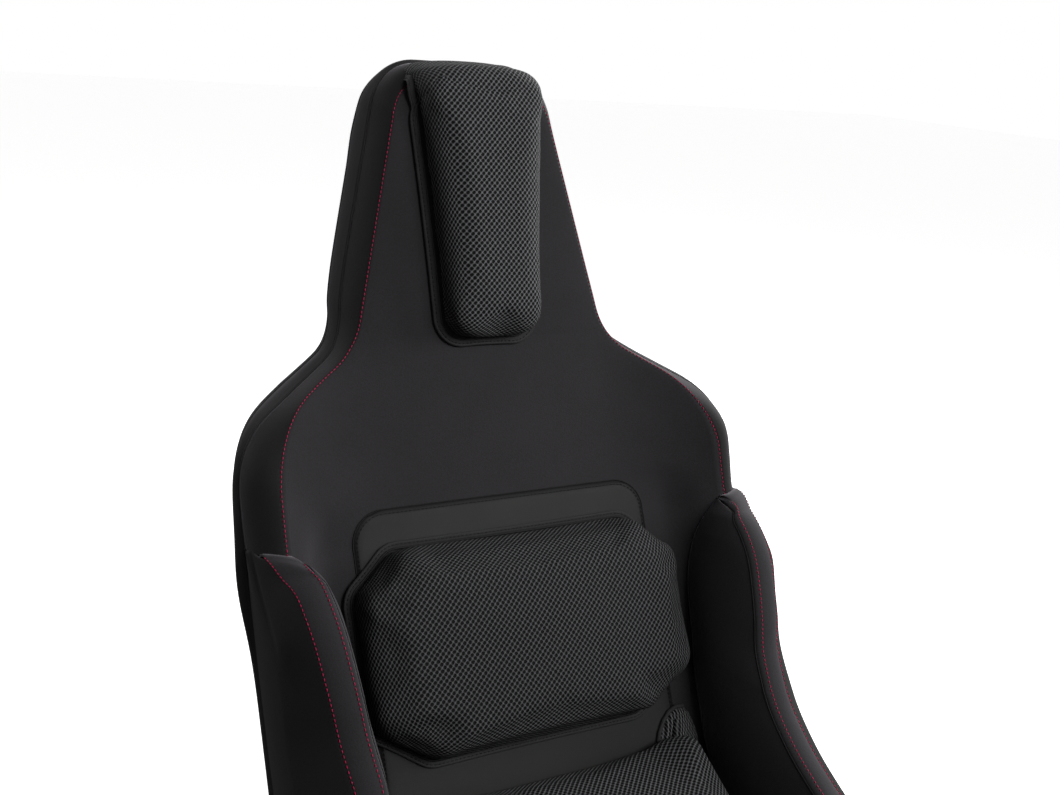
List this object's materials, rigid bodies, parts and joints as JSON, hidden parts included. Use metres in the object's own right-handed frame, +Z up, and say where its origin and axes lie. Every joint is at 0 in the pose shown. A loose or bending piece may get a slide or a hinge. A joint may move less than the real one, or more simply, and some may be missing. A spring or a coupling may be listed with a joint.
{
  "type": "racing seat",
  "caption": "Fixed-back upholstered bucket seat on a tube frame, with a head pad, a lumbar pad and a base cushion that lift off or shift, for bolting to a car or simulator floor.",
  "frame": {"origin": "centre of the bottom mounting pattern, on the underside of the two mount rails", "axes": "+X to the sitter's left, the seat faces -Y, +Z up; the centre plane is X = 0"},
  "size_m": [0.5678, 0.7989, 0.8476],
  "materials": {
    "seat_fabric": "soft brushed knit",
    "side_fabric": "brushed knit",
    "spacer_mesh": "three-layer spacer mesh",
    "backing_cloth": "woven",
    "hook_patch": "hook tape",
    "loop_panel": "smooth coated cloth",
    "foam": "moulded foam",
    "webbing": "elastic webbing",
    "painted_steel": "black powder coat",
    "bright_steel": "zinc plated"
  },
  "bodies": {
    "seat_shell": {"back_front_cover": "seat_fabric", "back_edge_panel_left": "side_fabric", "back_edge_panel_right": "side_fabric", "back_gusset_left": "side_fabric", "back_gusset_right": "side_fabric", "rear_cover": "side_fabric", "back_foam": "foam", "bolster_inner_panel_left": "seat_fabric", "bolster_inner_panel_right": "seat_fabric", "bolster_band_left": "seat_fabric", "bolster_band_right": "seat_fabric", "bolster_outer_panel_left": "side_fabric", "bolster_outer_panel_right": "side_fabric", "bolster_foam_left": "foam", "bolster_foam_right": "foam", "bolster_rod_left": "painted_steel", "bolster_rod_right": "painted_steel", "back_hoop": "painted_steel", "base_frame": "painted_steel", "corner_bracket_left": "painted_steel", "corner_bracket_right": "painted_steel", "frame_bolts": "bright_steel", "frame_nuts": "bright_steel", "pan_rivets": "bright_steel", "rear_cross_tube": "painted_steel", "mount_rail_left": "painted_steel", "mount_rail_right": "painted_steel", "mount_nuts": "bright_steel", "seat_pan": "painted_steel", "back_webbing": "webbing", "webbing_hooks": "bright_steel", "base_cover": "seat_fabric", "base_foam": "foam", "bottom_cloth": "backing_cloth", "loop_panel": "loop_panel"},
    "head_pad": {"head_pad_foam": "foam", "head_pad_cover": "spacer_mesh", "head_pad_backing": "backing_cloth", "head_pad_hook_patch": "hook_patch", "head_pad_hood": "spacer_mesh"},
    "lumbar_pad": {"lumbar_pad_foam": "foam", "lumbar_pad_cover": "spacer_mesh", "lumbar_pad_backing": "backing_cloth", "lumbar_pad_hook_patch": "hook_patch"},
    "base_cushion": {"base_cushion_foam": "foam", "base_cushion_cover": "spacer_mesh", "base_cushion_backing": "backing_cloth", "base_cushion_hook_patch": "hook_patch"}
  },
  "joints": [
    {"name": "head_pad_slide", "type": "slide", "parent": "seat_shell", "child": "head_pad", "axis": [0, 0.2571, 0.9664], "range_m": [0, 0.04]},
    {"name": "lumbar_pad_slide", "type": "slide", "parent": "seat_shell", "child": "lumbar_pad", "axis": [0, 0.4337, 0.9011], "range_m": [-0.01, 0.03]},
    {"name": "base_cushion_slide", "type": "slide", "parent": "seat_shell", "child": "base_cushion", "axis": [0, -1, 0], "range_m": [0, 0.03]}
  ]
}
